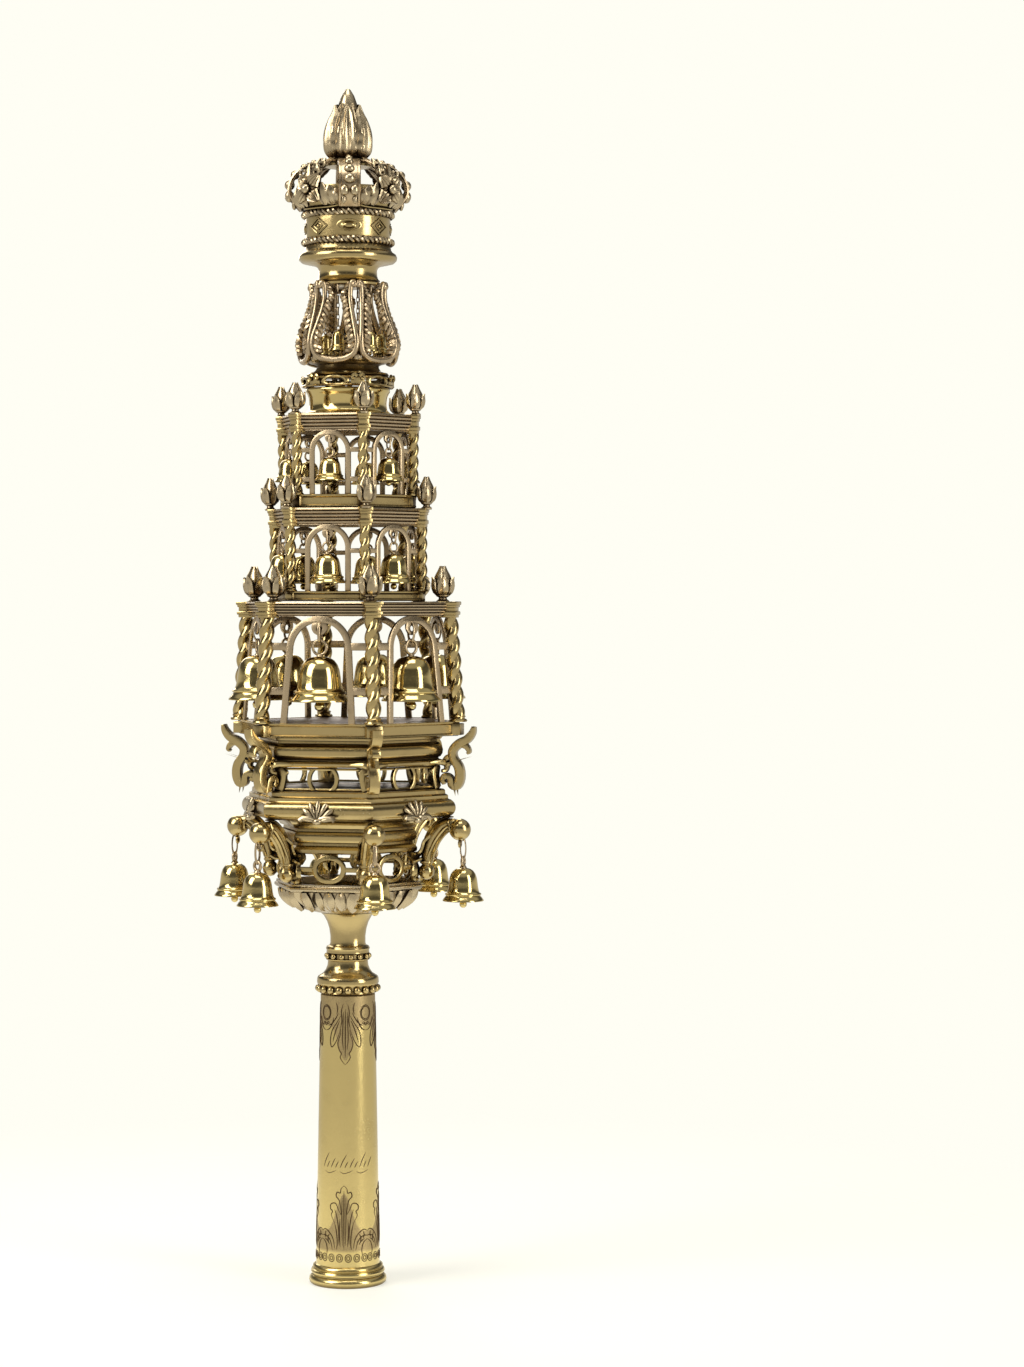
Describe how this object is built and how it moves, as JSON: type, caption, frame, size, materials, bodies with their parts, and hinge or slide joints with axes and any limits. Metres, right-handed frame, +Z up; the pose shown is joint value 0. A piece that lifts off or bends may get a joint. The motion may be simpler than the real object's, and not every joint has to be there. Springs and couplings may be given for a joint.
{
  "type": "torah finial",
  "caption": "Torah finial (rimmon) as a six-sided silver-gilt bell tower on a hollow tapered handle, with pierced arcades, hanging bells, S-scroll arms, lyre openwork and a crown.",
  "frame": {"origin": "centre of the foot, on the plane it stands on", "axes": "+Z up along the handle to the tip; -Y through the middle of a face of the six-sided tower"},
  "size_m": [0.1066, 0.0934, 0.4553],
  "materials": {
    "gilt": "polished silver-gilt with brown patina in the recesses",
    "pale_gilt": "paler worn silver-gilt",
    "dark_gilt": "darker silver-gilt, more patina"
  },
  "bodies": {
    "root": {"handle": "gilt", "collar_neck": "gilt", "bowl": "dark_gilt", "lower_gallery": "gilt", "shell_ring": "gilt", "upper_gallery": "gilt", "base_moulding": "gilt", "arm_1": "gilt", "arm_2": "gilt", "arm_3": "gilt", "arm_4": "gilt", "arm_5": "gilt", "arm_6": "gilt", "scroll_bracket_1": "gilt", "scroll_bracket_2": "gilt", "scroll_bracket_3": "gilt", "scroll_bracket_4": "gilt", "scroll_bracket_5": "gilt", "scroll_bracket_6": "gilt", "main_tier": "pale_gilt", "middle_tier": "pale_gilt", "top_tier": "pale_gilt", "outer_bell_1": "gilt", "outer_bell_2": "gilt", "outer_bell_3": "gilt", "outer_bell_4": "gilt", "outer_bell_5": "gilt", "outer_bell_6": "gilt", "main_bell_1": "gilt", "main_bell_2": "gilt", "main_bell_3": "gilt", "main_bell_4": "gilt", "main_bell_5": "gilt", "main_bell_6": "gilt", "middle_bell_1": "gilt", "middle_bell_2": "gilt", "middle_bell_3": "gilt", "middle_bell_4": "gilt", "middle_bell_5": "gilt", "middle_bell_6": "gilt", "top_bell_1": "gilt", "top_bell_2": "gilt", "top_bell_3": "gilt", "top_bell_4": "gilt", "top_bell_5": "gilt", "top_bell_6": "gilt", "drum": "gilt", "pierced_ring": "gilt", "lyre_stage": "pale_gilt", "lyre_bell_1": "gilt", "lyre_bell_2": "gilt", "lyre_bell_3": "gilt", "lyre_bell_4": "gilt", "lyre_bell_5": "gilt", "lyre_bell_6": "gilt", "crown": "gilt", "flame": "dark_gilt"}
  },
  "joints": []
}
